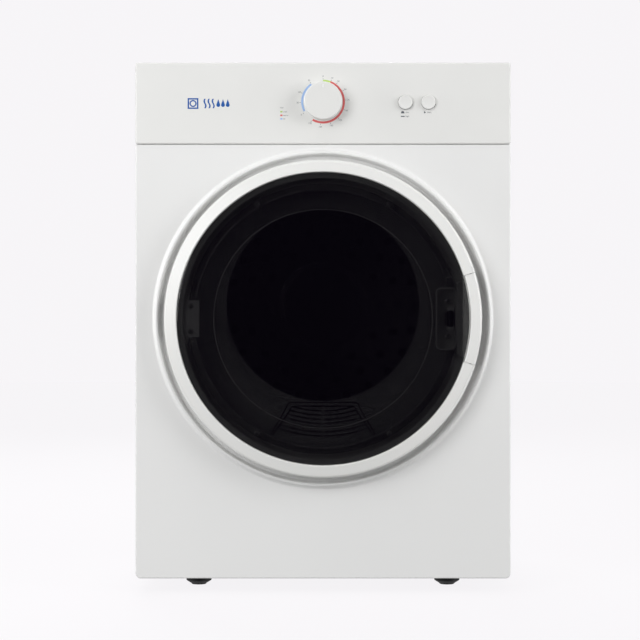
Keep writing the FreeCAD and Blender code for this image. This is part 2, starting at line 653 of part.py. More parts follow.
def handle_cup():
    plan = [(211, DOOR_Z - 55, 4), (222, DOOR_Z - 64, 2), (260, DOOR_Z - 64), (260, DOOR_Z + 64),
            (222, DOOR_Z + 64, 2), (211, DOOR_Z + 55, 4)]
    hole = [(213, DOOR_Z - 54, 3), (223, DOOR_Z - 62, 1), (270, DOOR_Z - 62), (270, DOOR_Z + 62),
            (223, DOOR_Z + 62, 1), (213, DOOR_Z + 54, 3)]
    cup = prism_y(plan, -263, -240).common(rod_y(0, DOOR_Z, 246, -270, -230))
    mouth = box(220, 270, -264, -260.9, DOOR_Z - 70, DOOR_Z + 70)
    return without(cup, [prism_y(hole, -261, -242), mouth])


def door_screws():
    screws = [front_screw(-208, DOOR_Z + s * 20, HINGE_Y - 4.2, 9) for s in (-1, 1)]
    screws += [front_screw(LATCH_SCREW_X, DOOR_Z + s * 28, -246, 5) for s in (-1, 1)]
    for angle in (60, 120, 240, 300):
        x, z = polar(BOWL_SCREW_R, angle, DOOR_Z)
        screws.append(front_screw(x, z, -258, 3))
    return Part.makeCompound(screws)


def handle_pins():
    pins = []
    for s in (-1, 1):
        z0, z1 = sorted((DOOR_Z + s * 58, DOOR_Z + s * 81))
        pins.append(rod_z(GRIP_PIN_X, GRIP_PIN_Y, 2, z0, z1))
    return Part.makeCompound(pins)


def door_handle():
    path = [(RING_R, -259, 0), (RING_R, -272, 5), (231.8, -276.2, 1.4), (231.8, -264.5)]
    shell = turned(strip(path, -2.5), 0, DOOR_Z, -GRIP_ANGLE + 0.15, 2 * GRIP_ANGLE - 0.3)
    parts = [shell]
    for s in (-1, 1):
        z0, z1 = sorted((DOOR_Z + s * 58, DOOR_Z + s * 67))
        parts.append(rod_z(GRIP_PIN_X, GRIP_PIN_Y, 4.0, z0, z1))
        parts.append(box(229, 235, -273.2, GRIP_PIN_Y, z0, z1))
    bore = rod_z(GRIP_PIN_X, GRIP_PIN_Y, 2.06, DOOR_Z - 90, DOOR_Z + 90)
    return without(joined(parts), [bore])


def latch_hook():
    z0, z1 = DOOR_Z - 8, DOOR_Z + 8
    arm = box(199, 202.6, HOOK_Y, -212, z0, z1)
    barb = prism_z([(202, -217.5), (204.2, -217.5), (204.2, -215), (202.4, -212), (202, -212)], z0, z1)
    hub = rod_z(HOOK_X, HOOK_Y, 5, DOOR_Z - 12, DOOR_Z + 12)
    trunnion = rod_z(HOOK_X, HOOK_Y, 3, DOOR_Z - 16.5, DOOR_Z + 16.5)
    return joined([arm, barb, hub, trunnion])


# Drum -----------------------------------------------------------------------------------------


def drum_shell():
    inner = DRUM_R - SHEET
    path = [(DRUM_LIP_R, -182), (DRUM_LIP_R, -166, 4), (270, -150, 8), (inner, -138, 6), (inner, -60, 3)]
    path += [(inner - 3, -55, 3), (inner - 3, -45, 3), (inner, -40, 3), (inner, 20)]
    path += [(inner, DRUM_REAR_Y)]
    return turned(strip(path, -SHEET), 0, DRUM_Z)


def drum_rear_disc():
    rim = DRUM_R - 2 * SHEET
    path = [(rim, 160), (rim, DRUM_REAR_Y - 1, 4), (232, DRUM_REAR_Y - 1, 4), (222, 170, 4), (80, 170, 4),
            (70, DRUM_REAR_Y - 1, 3), (0, DRUM_REAR_Y - 1)]
    disc = turned(strip(path, -SHEET), 0, DRUM_Z)
    holes = []
    for r, count, bore in ((105, 12, 7), (135, 18, 7), (165, 24, 7), (195, 30, 7)):
        for i in range(count):
            x, z = polar(r, i * 360.0 / count, DRUM_Z)
            holes.append(rod_y(x, z, bore, 160, 185))
    return without(disc, holes)


def drum_shaft():
    y = DRUM_REAR_Y - 1 + SHEET
    hub = turned([(0, y), (60, y), (60, y + 2), (24, y + 10), (24, y + 18), (10, y + 18), (0, y + 18)], 0, DRUM_Z)
    return joined([hub, rod_y(0, DRUM_Z, 10, y, 228)])


def drum_baffle(angle):
    points = [(-34, -290), (34, -290), (34, -268, 14), (11, -226, 11), (-11, -226, 11), (-34, -268, 14)]
    inner = [(-32, -290), (32, -290), (32, -267.4, 12), (9.4, -228, 9), (-9.4, -228, 9), (-32, -267.4, 12)]
    outer = prism_y(points, -125, 150).cut(prism_y(inner, -123, 148))
    rib = prism_y(points, 11, 13)
    baffle = joined([outer, rib])
    baffle.translate(V(0, 0, DRUM_Z))
    baffle = baffle.common(rod_y(0, DRUM_Z, DRUM_R - SHEET - 3, -200, 200))
    baffle.rotate(V(0, 0, DRUM_Z), V(0, 1, 0), angle)
    return baffle


# Air and drive --------------------------------------------------------------------------------


def motor_shaft():
    y_impeller, y_end = -166.0, 74.0
    shaft = rod_y(MOTOR_X, MOTOR_Z, PULLEY_R, y_impeller, y_end)
    flanges = [rod_y(MOTOR_X, MOTOR_Z, 9, 59.5, 61.5), rod_y(MOTOR_X, MOTOR_Z, 9, 72.5, 74.5)]
    return joined([shaft] + flanges)


def fan_impeller():
    hub = rod_y(MOTOR_X, MOTOR_Z, 14, -160, -118)
    disc = rod_y(MOTOR_X, MOTOR_Z, 74, -120, -117.5)
    front = tube_y(MOTOR_X, MOTOR_Z, 62, 74, -166, -163.5)
    blades = []
    for i in range(18):
        blade = box(50, 73.5, -165, -118, -0.9, 0.9)
        blade.rotate(V(50, 0, 0), V(0, 1, 0), 28)
        blade.rotate(V(0, 0, 0), V(0, 1, 0), i * 20.0)
        blade.translate(V(MOTOR_X, 0, MOTOR_Z))
        blades.append(blade.common(rod_y(MOTOR_X, MOTOR_Z, 74, -170, -110)))
    wheel = joined([hub, disc, front] + blades)
    return wheel.cut(rod_y(MOTOR_X, MOTOR_Z, PULLEY_R, -170, -100))


def idler_arm():
    dx, dz = IDLER_X - ARM_X, IDLER_Z - ARM_Z
    length = math.hypot(dx, dz)
    ux, uz = dx / length, dz / length
    sx, sz = -uz * 7, ux * 7
    a = (ARM_X + sx, ARM_Z + sz)
    b = (IDLER_X + sx, IDLER_Z + sz)
    c = (IDLER_X - sx, IDLER_Z - sz)
    d = (ARM_X - sx, ARM_Z - sz)
    bar = prism_y([a, b, c, d], 75, 78)
    eyes = [rod_y(ARM_X, ARM_Z, 9, 75, 78), rod_y(IDLER_X, IDLER_Z, 7, 75, 78)]
    axle = rod_y(IDLER_X, IDLER_Z, 3, 60, 76)
    washer = rod_y(IDLER_X, IDLER_Z, 5.5, 74, 75)
    arm = joined([bar, axle, washer] + eyes)
    return arm.cut(rod_y(ARM_X, ARM_Z, 4.06, 70, 80))


def idler_pulley():
    r = IDLER_R
    path = [(3.06, 61), (r + 3, 61), (r + 3, 62.4), (r, 62.6), (r, 71.4), (r + 3, 71.6), (r + 3, 73), (3.06, 73)]
    return turned(path, IDLER_X, IDLER_Z)


# Controls, filter, feet -----------------------------------------------------------------------


def timer_knob():
    back, front = FASCIA_Y - 0.6, FASCIA_Y - 20
    side = [(0, front), (30, front, 1.6), (28.4, back - 4, 2), (29.2, back, 0.6), (0, back)]
    flutes = []
    for i in range(40):
        x, z = polar(30.2, i * 9 + 4.5, KNOB_Z)
        flutes.append(rod_y(x, z, 1.2, front + 3.5, back + 1))
    pointer = box(-1.1, 1.1, front - 0.4, front + 1, KNOB_Z + 20, KNOB_Z + 26)
    stem = rod_y(0, KNOB_Z, 3, back - 1, -224)
    return joined([without(turned(side, 0, KNOB_Z), flutes), pointer, stem])


def push_button(x):
    cap = [(0, -247.2), (11.4, -247.2, 1.4), (11.4, -238), (0, -238)]
    dish = Part.makeSphere(60, V(x, -247.2 - 59.2, BUTTON_Z))
    return joined([turned(cap, x, BUTTON_Z).cut(dish), rod_y(x, BUTTON_Z, 3, -239, -229)])


def lint_filter_frame():
    outer = prism_y(rectangle(-52, 52, 180, 300, 3), -198.5, -186.5)
    windows = [prism_y(rectangle(x0, x1, 186, 276, 3), -199, -186) for x0, x1 in ((-47, -2), (2, 47))]
    grip = prism_y(rectangle(-24, 24, 282, 295, 5), -199, -192)
    return without(outer, windows + [grip])


def lint_filter_mesh():
    sheets = []
    for x0, x1 in ((-47, -2), (2, 47)):
        panel = prism_y(rectangle(x0, x1, 186, 276, 3), -193, -192)
        sheets.append(panel)
    return Part.makeCompound(sheets)


def foot(x, y):
    pad = [(0, 0), (11.5, 0, 1), (12.5, 1.5), (20.5, 6.5, 1), (20.5, 20, 1.5), (0, 20)]
    face = outline(pad, lambda a, b: V(x + a, y, b))
    pad_shape = face.revolve(V(x, y, 0), V(0, 0, 1), 360)
    return joined([pad_shape, rod_z(x, y, 4, 18, 44)])


NODES = {
    "base_tray": base_tray,
    "side_panel_left": lambda: side_panel(-1),
    "side_panel_right": lambda: side_panel(1),
    "back_panel": back_panel,
    "back_cover": back_cover,
    "worktop": worktop,
    "front_panel": front_panel,
    "front_bulkhead": front_bulkhead,
    "drum_collar": drum_collar,
    "control_panel": control_panel,
    "vent_collar": vent_collar,
    "exhaust_duct": exhaust_duct,
    "lint_duct": lint_duct,
    "blower_housing": blower_housing,
    "motor_body": motor_body,
    "motor_bracket": motor_bracket,
    "front_felt_seal": front_felt_seal,
    "drum_glides": drum_glides,
    "rear_bearing_bracket": rear_bearing_bracket,
    "heater_element": heater_element,
    "drive_belt": drive_belt,
    "timer_body": timer_body,
    "button_switches": button_switches,
    "door_switch": door_switch,
    "door_switch_plunger": door_switch_plunger,
    "latch_catch": latch_catch,
    "hinge_fixed_leaf": hinge_fixed_leaf,
    "cable_gland": cable_gland,
    "cabinet_screws": cabinet_screws,
    "door_seal": door_seal,
    "door_ring": door_ring,
    "door_cover": door_cover,
    "door_bowl": door_bowl,
    "door_inner_frame": door_inner_frame,
    "hinge_door_leaf": hinge_door_leaf,
    "hinge_pin": hinge_pin,
    "handle_cup": handle_cup,
    "door_screws": door_screws,
    "handle_pins": handle_pins,
    "door_handle": door_handle,
    "latch_hook": latch_hook,
    "drum_shell": drum_shell,
    "drum_rear_disc": drum_rear_disc,
    "drum_shaft": drum_shaft,
    "drum_baffle_1": lambda: drum_baffle(0),
    "drum_baffle_2": lambda: drum_baffle(120),
    "drum_baffle_3": lambda: drum_baffle(240),
    "motor_shaft": motor_shaft,
    "fan_impeller": fan_impeller,
    "idler_arm": idler_arm,
    "idler_pulley": idler_pulley,
    "timer_knob": timer_knob,
    "heat_button": lambda: push_button(BUTTON_X[0]),
    "start_button": lambda: push_button(BUTTON_X[1]),
    "lint_filter_frame": lint_filter_frame,
    "lint_filter_mesh": lint_filter_mesh,
    "foot_front_left": lambda: foot(*FEET[0]),
    "foot_front_right": lambda: foot(*FEET[1]),
    "foot_rear_left": lambda: foot(*FEET[2]),
    "foot_rear_right": lambda: foot(*FEET[3]),
}

os.makedirs("parts", exist_ok=True)
for name, make in NODES.items():
    shape = make()
    shape.exportStep("parts/" + name + ".step")
    print(name, len(shape.Solids), shape.isValid(), round(shape.Volume))
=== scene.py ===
import bpy
import bmesh
import json
import math
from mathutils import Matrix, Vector


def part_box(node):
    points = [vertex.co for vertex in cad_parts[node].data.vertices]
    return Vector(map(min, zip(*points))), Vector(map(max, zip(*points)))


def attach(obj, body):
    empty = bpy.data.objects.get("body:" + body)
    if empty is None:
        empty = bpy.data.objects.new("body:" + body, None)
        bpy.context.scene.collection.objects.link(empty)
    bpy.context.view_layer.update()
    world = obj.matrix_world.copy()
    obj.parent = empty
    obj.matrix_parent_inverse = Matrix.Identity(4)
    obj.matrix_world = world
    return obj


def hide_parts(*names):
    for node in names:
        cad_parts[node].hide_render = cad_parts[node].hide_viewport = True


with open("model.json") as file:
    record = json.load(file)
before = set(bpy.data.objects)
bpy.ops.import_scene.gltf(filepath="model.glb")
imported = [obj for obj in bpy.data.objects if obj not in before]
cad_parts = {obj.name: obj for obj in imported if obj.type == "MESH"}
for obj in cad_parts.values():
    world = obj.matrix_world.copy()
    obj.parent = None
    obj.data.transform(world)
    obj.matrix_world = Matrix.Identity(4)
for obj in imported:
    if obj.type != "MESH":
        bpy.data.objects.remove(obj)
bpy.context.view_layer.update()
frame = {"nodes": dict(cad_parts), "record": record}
NODES = frame["nodes"]
MM = 0.001

# Places and sizes that the CAD frame gives -----------------------------------------------------

COVER_LOW, COVER_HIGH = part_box("door_cover")
KNOB_LOW, KNOB_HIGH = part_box("timer_knob")
DRUM_LOW, DRUM_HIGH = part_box("drum_shell")
DOOR_Z = (COVER_LOW.z + COVER_HIGH.z) / 2
KNOB_Z = (KNOB_LOW.z + KNOB_HIGH.z) / 2
DRUM_Z = (DRUM_LOW.z + DRUM_HIGH.z) / 2
FASCIA_Y = -243 * MM

# The mix node's sockets share their names between data types, so they are taken by number
MIX_FACTOR, MIX_FIRST, MIX_SECOND, MIX_RESULT = 0, 6, 7, 2


# Materials -------------------------------------------------------------------------------------


class Shader:
    """A small wrapper that builds one Principled material out of nodes."""

    def __init__(self, name, color, rough, metal=0.0):
        self.mat = bpy.data.materials.new(name)
        self.mat.use_nodes = True
        self.tree = self.mat.node_tree
        self.bsdf = self.tree.nodes["Principled BSDF"]
        self.color = color
        self.rough = rough
        self.put("Base Color", (*color, 1.0))
        self.put("Roughness", rough)
        self.put("Metallic", metal)
        self.coords = self.node("ShaderNodeTexCoord").outputs["Object"]
        self.height = None

    def put(self, socket, value):
        self.bsdf.inputs[socket].default_value = value

    def node(self, kind, **settings):
        made = self.tree.nodes.new(kind)
        for key, value in settings.items():
            setattr(made, key, value)
        return made

    def link(self, a, b):
        self.tree.links.new(a, b)

    def stretched(self, scale):
        mapping = self.node("ShaderNodeMapping")
        mapping.inputs["Scale"].default_value = scale
        self.link(self.coords, mapping.inputs["Vector"])
        return mapping.outputs["Vector"]

    def noise(self, scale, detail=3.0, rough=0.5, vector=None):
        made = self.node("ShaderNodeTexNoise")
        made.inputs["Scale"].default_value = scale
        made.inputs["Detail"].default_value = detail
        made.inputs["Roughness"].default_value = rough
        self.link(vector or self.coords, made.inputs["Vector"])
        return made.outputs["Fac"]

    def cells(self, scale):
        made = self.node("ShaderNodeTexVoronoi")
        made.inputs["Scale"].default_value = scale
        self.link(self.coords, made.inputs["Vector"])
        return made.outputs["Distance"]

    def waves(self, scale, axis):
        made = self.node("ShaderNodeTexWave", bands_direction=axis)
        made.inputs["Scale"].default_value = scale
        self.link(self.coords, made.inputs["Vector"])
        return made.outputs["Fac"]

    def spread(self, fac, low, high, start=0.3, stop=0.7):
        """Stretches a pattern's start-to-stop range over low to high."""
        made = self.node("ShaderNodeMapRange")
        made.inputs["From Min"].default_value = start
        made.inputs["From Max"].default_value = stop
        made.inputs["To Min"].default_value = low
        made.inputs["To Max"].default_value = high
        self.link(fac, made.inputs["Value"])
        return made.outputs["Result"]

    def vary_rough(self, fac, amount):
        result = self.spread(fac, self.rough - amount, self.rough + amount)
        self.link(result, self.bsdf.inputs["Roughness"])

    def vary_color(self, fac, other, start=0.3, stop=0.7):
        mix = self.node("ShaderNodeMix", data_type="RGBA")
        mix.inputs[MIX_FIRST].default_value = (*self.color, 1.0)
        mix.inputs[MIX_SECOND].default_value = (*other, 1.0)
        self.link(self.spread(fac, 0.0, 1.0, start, stop), mix.inputs[MIX_FACTOR])
        self.link(mix.outputs[MIX_RESULT], self.bsdf.inputs["Base Color"])

    def bump(self, fac, depth, strength=1.0):
        """Adds one layer of relief over those added before it."""
        made = self.node("ShaderNodeBump")
        made.inputs["Distance"].default_value = depth
        made.inputs["Strength"].default_value = strength
        self.link(fac, made.inputs["Height"])
        if self.height is not None:
            self.link(self.height, made.inputs["Normal"])
        self.height = made.outputs["Normal"]
        self.link(self.height, self.bsdf.inputs["Normal"])


def shade(color, factor):
    return tuple(c * factor for c in color)


def powder_coat():
    s = Shader("powder_coat_white", (0.80, 0.80, 0.795), 0.34)
    s.put("Coat Weight", 0.12)
    s.put("Coat Roughness", 0.18)
    s.vary_color(s.noise(5.0, 2.0), shade(s.color, 0.985))
    s.vary_rough(s.noise(18.0, 4.0), 0.035)
    s.bump(s.noise(620.0, 2.0), depth=0.06 * MM, strength=0.5)
    s.bump(s.noise(9.0, 1.0), depth=0.4 * MM, strength=0.12)
    return s.mat


def moulded_plastic(name, color, rough, grain=1500.0, depth=0.03 * MM):
    s = Shader(name, color, rough)
    s.vary_color(s.noise(7.0, 3.0), shade(color, 0.97))
    s.vary_rough(s.noise(25.0, 4.0), 0.05)
    s.bump(s.noise(grain, 2.0), depth, strength=0.6)
    return s.mat


def gloss_white(color):
    s = Shader("gloss_white", color, 0.34)
    s.put("Coat Weight", 0.12)
    s.put("Coat Roughness", 0.2)
    s.vary_color(s.noise(6.0, 2.0), shade(color, 0.985))
    s.vary_rough(s.noise(40.0, 4.0), 0.04)
    s.bump(s.noise(1300.0, 2.0), depth=0.02 * MM, strength=0.5)
    s.bump(s.noise(14.0, 1.0), depth=0.3 * MM, strength=0.1)
    return s.mat


def smoked_acrylic():
    s = Shader("smoked_acrylic", (0.0022, 0.0013, 0.0038), 0.035)
    s.put("Alpha", 0.625)
    s.put("IOR", 1.49)
    s.vary_rough(s.noise(12.0, 4.0), 0.015)
    s.bump(s.noise(4.0, 1.0), depth=1.2 * MM, strength=0.1)
    return s.mat


def clear_plastic():
    s = Shader("tinted_bowl", (0.012, 0.012, 0.015), 0.08)
    s.put("Alpha", 0.14)
    s.put("IOR", 1.5)
    s.vary_rough(s.noise(12.0, 4.0), 0.02)
    s.bump(s.noise(3.0, 1.0), depth=0.6 * MM, strength=0.1)
    return s.mat


def galvanised():
    s = Shader("galvanised_steel", (0.52, 0.54, 0.56), 0.36, metal=1.0)
    s.vary_color(s.cells(85.0), (0.47, 0.49, 0.51), start=0.1, stop=0.7)
    s.vary_rough(s.cells(60.0), 0.05)
    s.bump(s.noise(300.0, 3.0), depth=0.05 * MM, strength=0.4)
    return s.mat


def stainless():
    s = Shader("stainless_steel", (0.58, 0.575, 0.565), 0.36, metal=1.0)
    s.put("Anisotropic", 0.5)
    grain = s.noise(260.0, 4.0, 0.6, s.stretched((1.0, 0.04, 1.0)))
    s.vary_color(grain, (0.50, 0.495, 0.49))
    s.vary_rough(grain, 0.07)
    s.bump(grain, depth=0.04 * MM, strength=0.5)
    return s.mat


def aluminium():
    s = Shader("drawn_aluminium", (0.66, 0.66, 0.665), 0.32, metal=1.0)
    grain = s.noise(300.0, 3.0, 0.5, s.stretched((1.0, 0.06, 1.0)))
    s.vary_color(grain, (0.56, 0.56, 0.57))
    s.vary_rough(grain, 0.06)
    s.bump(grain, depth=0.03 * MM, strength=0.4)
    return s.mat


def rubber(name, color):
    s = Shader(name, color, 0.62)
    s.vary_color(s.noise(60.0, 4.0), shade(color, 1.35))
    s.vary_rough(s.noise(120.0, 3.0), 0.08)
    s.bump(s.noise(1100.0, 3.0), depth=0.06 * MM, strength=0.7)
    return s.mat


def felt():
    s = Shader("wool_felt", (0.52, 0.50, 0.45), 0.95)
    s.put("Sheen Weight", 0.4)
    s.vary_color(s.noise(500.0, 5.0, 0.7), (0.38, 0.36, 0.32))
    s.vary_rough(s.noise(300.0, 3.0), 0.04)
    s.bump(s.noise(1800.0, 5.0, 0.75), depth=0.5 * MM, strength=0.9)
    return s.mat


def mesh_cloth():
    s = Shader("filter_mesh", (0.30, 0.31, 0.32), 0.7)
    weave = s.node("ShaderNodeMath", operation="MULTIPLY")
    s.link(s.waves(320.0, "X"), weave.inputs[0])
    s.link(s.waves(320.0, "Z"), weave.inputs[1])
    s.vary_color(weave.outputs["Value"], (0.10, 0.10, 0.11), start=0.2, stop=0.6)
    s.vary_rough(s.noise(80.0, 3.0), 0.08)
    s.bump(weave.outputs["Value"], depth=0.2 * MM, strength=0.8)
    return s.mat


def motor_black():
    s = Shader("motor_enamel", (0.022, 0.022, 0.024), 0.42)
    s.vary_color(s.noise(30.0, 4.0), (0.035, 0.034, 0.033))
    s.vary_rough(s.noise(45.0, 4.0), 0.1)
    s.bump(s.noise(500.0, 3.0), depth=0.08 * MM, strength=0.6)
    return s.mat


def ink(name, color):
    s = Shader(name, color, 0.45)
    s.vary_color(s.noise(300.0, 3.0), shade(color, 0.92))
    s.vary_rough(s.noise(200.0, 3.0), 0.05)
    s.bump(s.noise(2200.0, 2.0), depth=0.01 * MM, strength=0.4)
    return s.mat


PLASTIC_WHITE = (0.765, 0.765, 0.75)
PLASTIC_GREY = (0.17, 0.175, 0.18)
PLASTIC_BLACK = (0.012, 0.012, 0.013)
COARSE_GRAIN = {"grain": 900.0, "depth": 0.06 * MM}
SLOT_MATERIALS = {
    "white_steel": powder_coat(),
    "white_abs": moulded_plastic("abs_white", PLASTIC_WHITE, 0.40),
    "white_gloss": gloss_white(PLASTIC_WHITE),
    "galvanised": galvanised(),
    "stainless": stainless(),
    "smoked_cover": smoked_acrylic(),
    "clear_bowl": clear_plastic(),
    "grey_plastic": moulded_plastic("plastic_grey", PLASTIC_GREY, 0.5, **COARSE_GRAIN),
    "dark_plastic": moulded_plastic("plastic_black", PLASTIC_BLACK, 0.45, **COARSE_GRAIN),
    "black_rubber": rubber("rubber_black", (0.014, 0.014, 0.014)),
    "grey_rubber": rubber("rubber_grey", (0.075, 0.075, 0.078)),
    "felt": felt(),
    "mesh": mesh_cloth(),
    "alu": aluminium(),
    "motor_paint": motor_black(),
}
INK_DARK = ink("ink_dark", (0.10, 0.11, 0.13))
INK_RED = ink("ink_red", (0.70, 0.13, 0.13))
INK_GREEN = ink("ink_green", (0.45, 0.66, 0.14))
INK_BLUE = ink("ink_light_blue", (0.34, 0.50, 0.80))
INK_PALE = ink("ink_pale", (0.93, 0.93, 0.94))
BADGE_BLUE = ink("badge_blue", (0.0, 0.085, 0.36))


def paint_nodes():
    """Gives each CAD node the finished version of its record's material slot."""
    slots = {part["node"]: part["material_slot"] for part in frame["record"]["subparts"]}
    for name, piece in NODES.items():
        piece.data.materials.clear()
        piece.data.materials.append(SLOT_MATERIALS[slots[name]])


# Pieces of the visual model --------------------------------------------------------------------


def polar(radius, degrees):
    """The (x, z) offset at an angle counted from the x axis towards the top."""
    a = math.radians(degrees)
    return radius * math.cos(a), radius * math.sin(a)


def bake(build, name):
    """Turns a built mesh into a named one and lets go of the builder."""
    mesh = bpy.data.meshes.new(name)
    build.to_mesh(mesh)
    build.free()
    return mesh


def round_off(build):
    """Turns the normals outwards and shades the faces smooth."""
    bmesh.ops.recalc_face_normals(build, faces=build.faces)
    for face in build.faces:
        face.smooth = True


def add_piece(name, data, material, body, place=(0, 0, 0), turn=(0, 0, 0)):
    """Puts a new piece in the scene, on the body that carries it."""
    made = bpy.data.objects.new(name, data)
    made.location = place
    made.rotation_euler = turn
    bpy.context.scene.collection.objects.link(made)
    data.materials.append(material)
    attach(made, body)
    return made


def add_slotted(name, data, slot, body):
    """A new piece with the finish of one of the record's material slots."""
    made = add_piece(name, data, SLOT_MATERIALS[slot], body)
    return made


# Printing --------------------------------------------------------------------------------------

INK_Y = FASCIA_Y - 0.06 * MM
POINTER_Y = KNOB_LOW.y - 0.05 * MM
TEXT = 3.6 * MM
SMALL_TEXT = 3.4 * MM


def face_mesh(name, outlines, material, body="cabinet", y=INK_Y):
    """One thin printed piece: flat outlines of (x, z) points, laid just over the surface at y."""
    build = bmesh.new()
    for outline in outlines:
        verts = [build.verts.new((x, y, z)) for x, z in outline]
        build.faces.new(verts)
    bmesh.ops.recalc_face_normals(build, faces=build.faces)
    for face in build.faces:
        if face.normal.y > 0:
            face.normal_flip()
    add_piece(name, bake(build, name), material, body)


def lettering(name, text, x, z, size=TEXT, align="LEFT"):
    """Dark letters on the fascia, upright and facing the front."""
    font = bpy.data.curves.new(name, "FONT")
    font.body = text
    font.size = size
    font.align_x = align
    font.align_y = "CENTER"
    font.resolution_u = 3
    add_piece(name, font, INK_DARK, "cabinet", (x, INK_Y, z), (math.radians(90), 0, 0))


def square(x, z, w, h):
    left, right = x - w / 2, x + w / 2
    low, high = z - h / 2, z + h / 2
    return [(left, low), (right, low), (right, high), (left, high)]


DIAL_MARKS = (
    (0, "0"), (21, "10"), (37, "30"), (61, "50"), (86, "70"), (111, "90"), (137, "120"),
    (161, "140"), (186, "160"), (211, "170"), (239, "0"), (267.5, "30"), (292, "60"), (326.5, "90"),
)
DIAL_ARCS = (("cool", 0, 20.5, INK_GREEN), ("heat", 20.5, 210, INK_RED), ("air", 243, 326, INK_BLUE))
ARC_IN_R = 31.35 * MM
ARC_OUT_R = 34.65 * MM
ARC_STEP = 3
TICK_IN_R = 35.3 * MM
TICK_OUT_R = 37.2 * MM
TICK_HALF_ANGLE = 0.45
DIAL_TEXT_R = 40.2 * MM
POINTER_R = 23 * MM
POINTER_WIDTH = 1.9 * MM
POINTER_LENGTH = 5.4 * MM


def on_dial(radius, degrees):
    """A point round the knob, counted clockwise from the top."""
    a = math.radians(degrees)
    return radius * math.sin(a), KNOB_Z + radius * math.cos(a)


def dial_patch(r_in, r_out, start, stop):
    return [on_dial(r_in, start), on_dial(r_out, start), on_dial(r_out, stop), on_dial(r_in, stop)]


def dial_arc(name, start, stop, material):
    steps = max(4, int((stop - start) / ARC_STEP))
    angles = [start + (stop - start) * i / steps for i in range(steps + 1)]
    outlines = [dial_patch(ARC_IN_R, ARC_OUT_R, a, b) for a, b in zip(angles, angles[1:])]
    face_mesh(name, outlines, material)


def dial_print():
    for name, start, stop, material in DIAL_ARCS:
        dial_arc("dial_arc_" + name, start, stop, material)
    half = TICK_HALF_ANGLE
    ticks = [dial_patch(TICK_IN_R, TICK_OUT_R, angle - half, angle + half) for angle, _ in DIAL_MARKS]
    face_mesh("dial_ticks", ticks, INK_DARK)
    for i, (angle, label) in enumerate(DIAL_MARKS):
        x, z = on_dial(DIAL_TEXT_R, angle)
        lettering("dial_number_%02d" % i, label, x, z, align="CENTER")


def pointer_print():
    mark = square(0, KNOB_Z + POINTER_R, POINTER_WIDTH, POINTER_LENGTH)
    face_mesh("knob_pointer_mark", [mark], INK_PALE, "knob", POINTER_Y)


LEGEND_X = -66 * MM
LEGEND_TITLE_Z = 768.5 * MM
LEGEND_ROWS = (
    (762 * MM, INK_GREEN, "cool"), (756.3 * MM, INK_RED, "warm"), (750.8 * MM, INK_BLUE, "air"),
)
PATCH_WIDTH = 3.6 * MM
PATCH_HEIGHT = 2.4 * MM


def legend_print():
    """The key to the dial's three colours."""
    lettering("legend_minutes", "min", LEGEND_X - 2 * MM, LEGEND_TITLE_Z)
    for z, material, word in LEGEND_ROWS:
        patch = square(LEGEND_X, z, PATCH_WIDTH, PATCH_HEIGHT)
        face_mesh("legend_patch_" + word, [patch], material)
        lettering("legend_word_" + word, word, LEGEND_X + 3 * MM, z, SMALL_TEXT)


HEAT_MARK_X = 126.3 * MM
START_MARK_X = 161.5 * MM
KEY_ROW_Z = 761 * MM
KEY_LOW_ROW_Z = 754.8 * MM


def button_print():
    """Under the heat button a key that is out and one that is in, under the other an arrow."""
    x = HEAT_MARK_X
    low, high = KEY_ROW_Z - 1.6 * MM, KEY_ROW_Z + 1.8 * MM
    key_out = [(x - 3 * MM, low), (x + 3 * MM, low), (x + 1.8 * MM, high), (x - 1.8 * MM, high)]
    key_in = square(x, KEY_LOW_ROW_Z - 0.2 * MM, 6 * MM, 1.7 * MM)
    face_mesh("icon_button_out", [key_out], INK_DARK)
    face_mesh("icon_button_in", [key_in], INK_DARK)
    lettering("label_low", "low", x + 4.4 * MM, KEY_ROW_Z)
    lettering("label_high", "high", x + 4.4 * MM, KEY_LOW_ROW_Z)
    x = START_MARK_X
    low, high = KEY_ROW_Z - 1.8 * MM, KEY_ROW_Z + 1.8 * MM
    arrow = [(x - 1.4 * MM, low), (x + 1.8 * MM, KEY_ROW_Z), (x - 1.4 * MM, high)]
    face_mesh("icon_start", [arrow], INK_DARK)
    lettering("label_start", "start", x + 3.4 * MM, KEY_ROW_Z)


BADGE_X = -206 * MM
BADGE_Z = 775 * MM
BADGE_SIDE = 17 * MM
BADGE_WALL = 2.2 * MM
BADGE_RING_IN_R = 3.6 * MM
BADGE_RING_OUT_R = 5.6 * MM
BADGE_COUNT = 3
WAVE_X = -187 * MM
WAVE_PITCH = 6.5 * MM
WAVE_HEIGHT = 15 * MM
WAVE_WIDTH = 2.4 * MM
WAVE_SWING = 1.3 * MM
WAVE_STEPS = 24
DROP_X = -166 * MM
DROP_PITCH = 7.5 * MM
DROP_R = 3.0 * MM
DROP_FALL = 2.4 * MM
DROP_TIP = 9.4 * MM


def ring_band(x, z, r_in, r_out, steps=48):
    outlines = []
    for i in range(steps):
        start, stop = 360 * i / steps, 360 * (i + 1) / steps
        corners = (polar(r_in, start), polar(r_out, start), polar(r_out, stop), polar(r_in, stop))
        outlines.append([(x + dx, z + dz) for dx, dz in corners])
    return outlines


def hollow_square(x, z, side, wall):
    reach = side / 2 - wall / 2
    return [
        square(x, z + reach, side, wall), square(x, z - reach, side, wall),
        square(x - reach, z, wall, side - 2 * wall), square(x + reach, z, wall, side - 2 * wall),
    ]


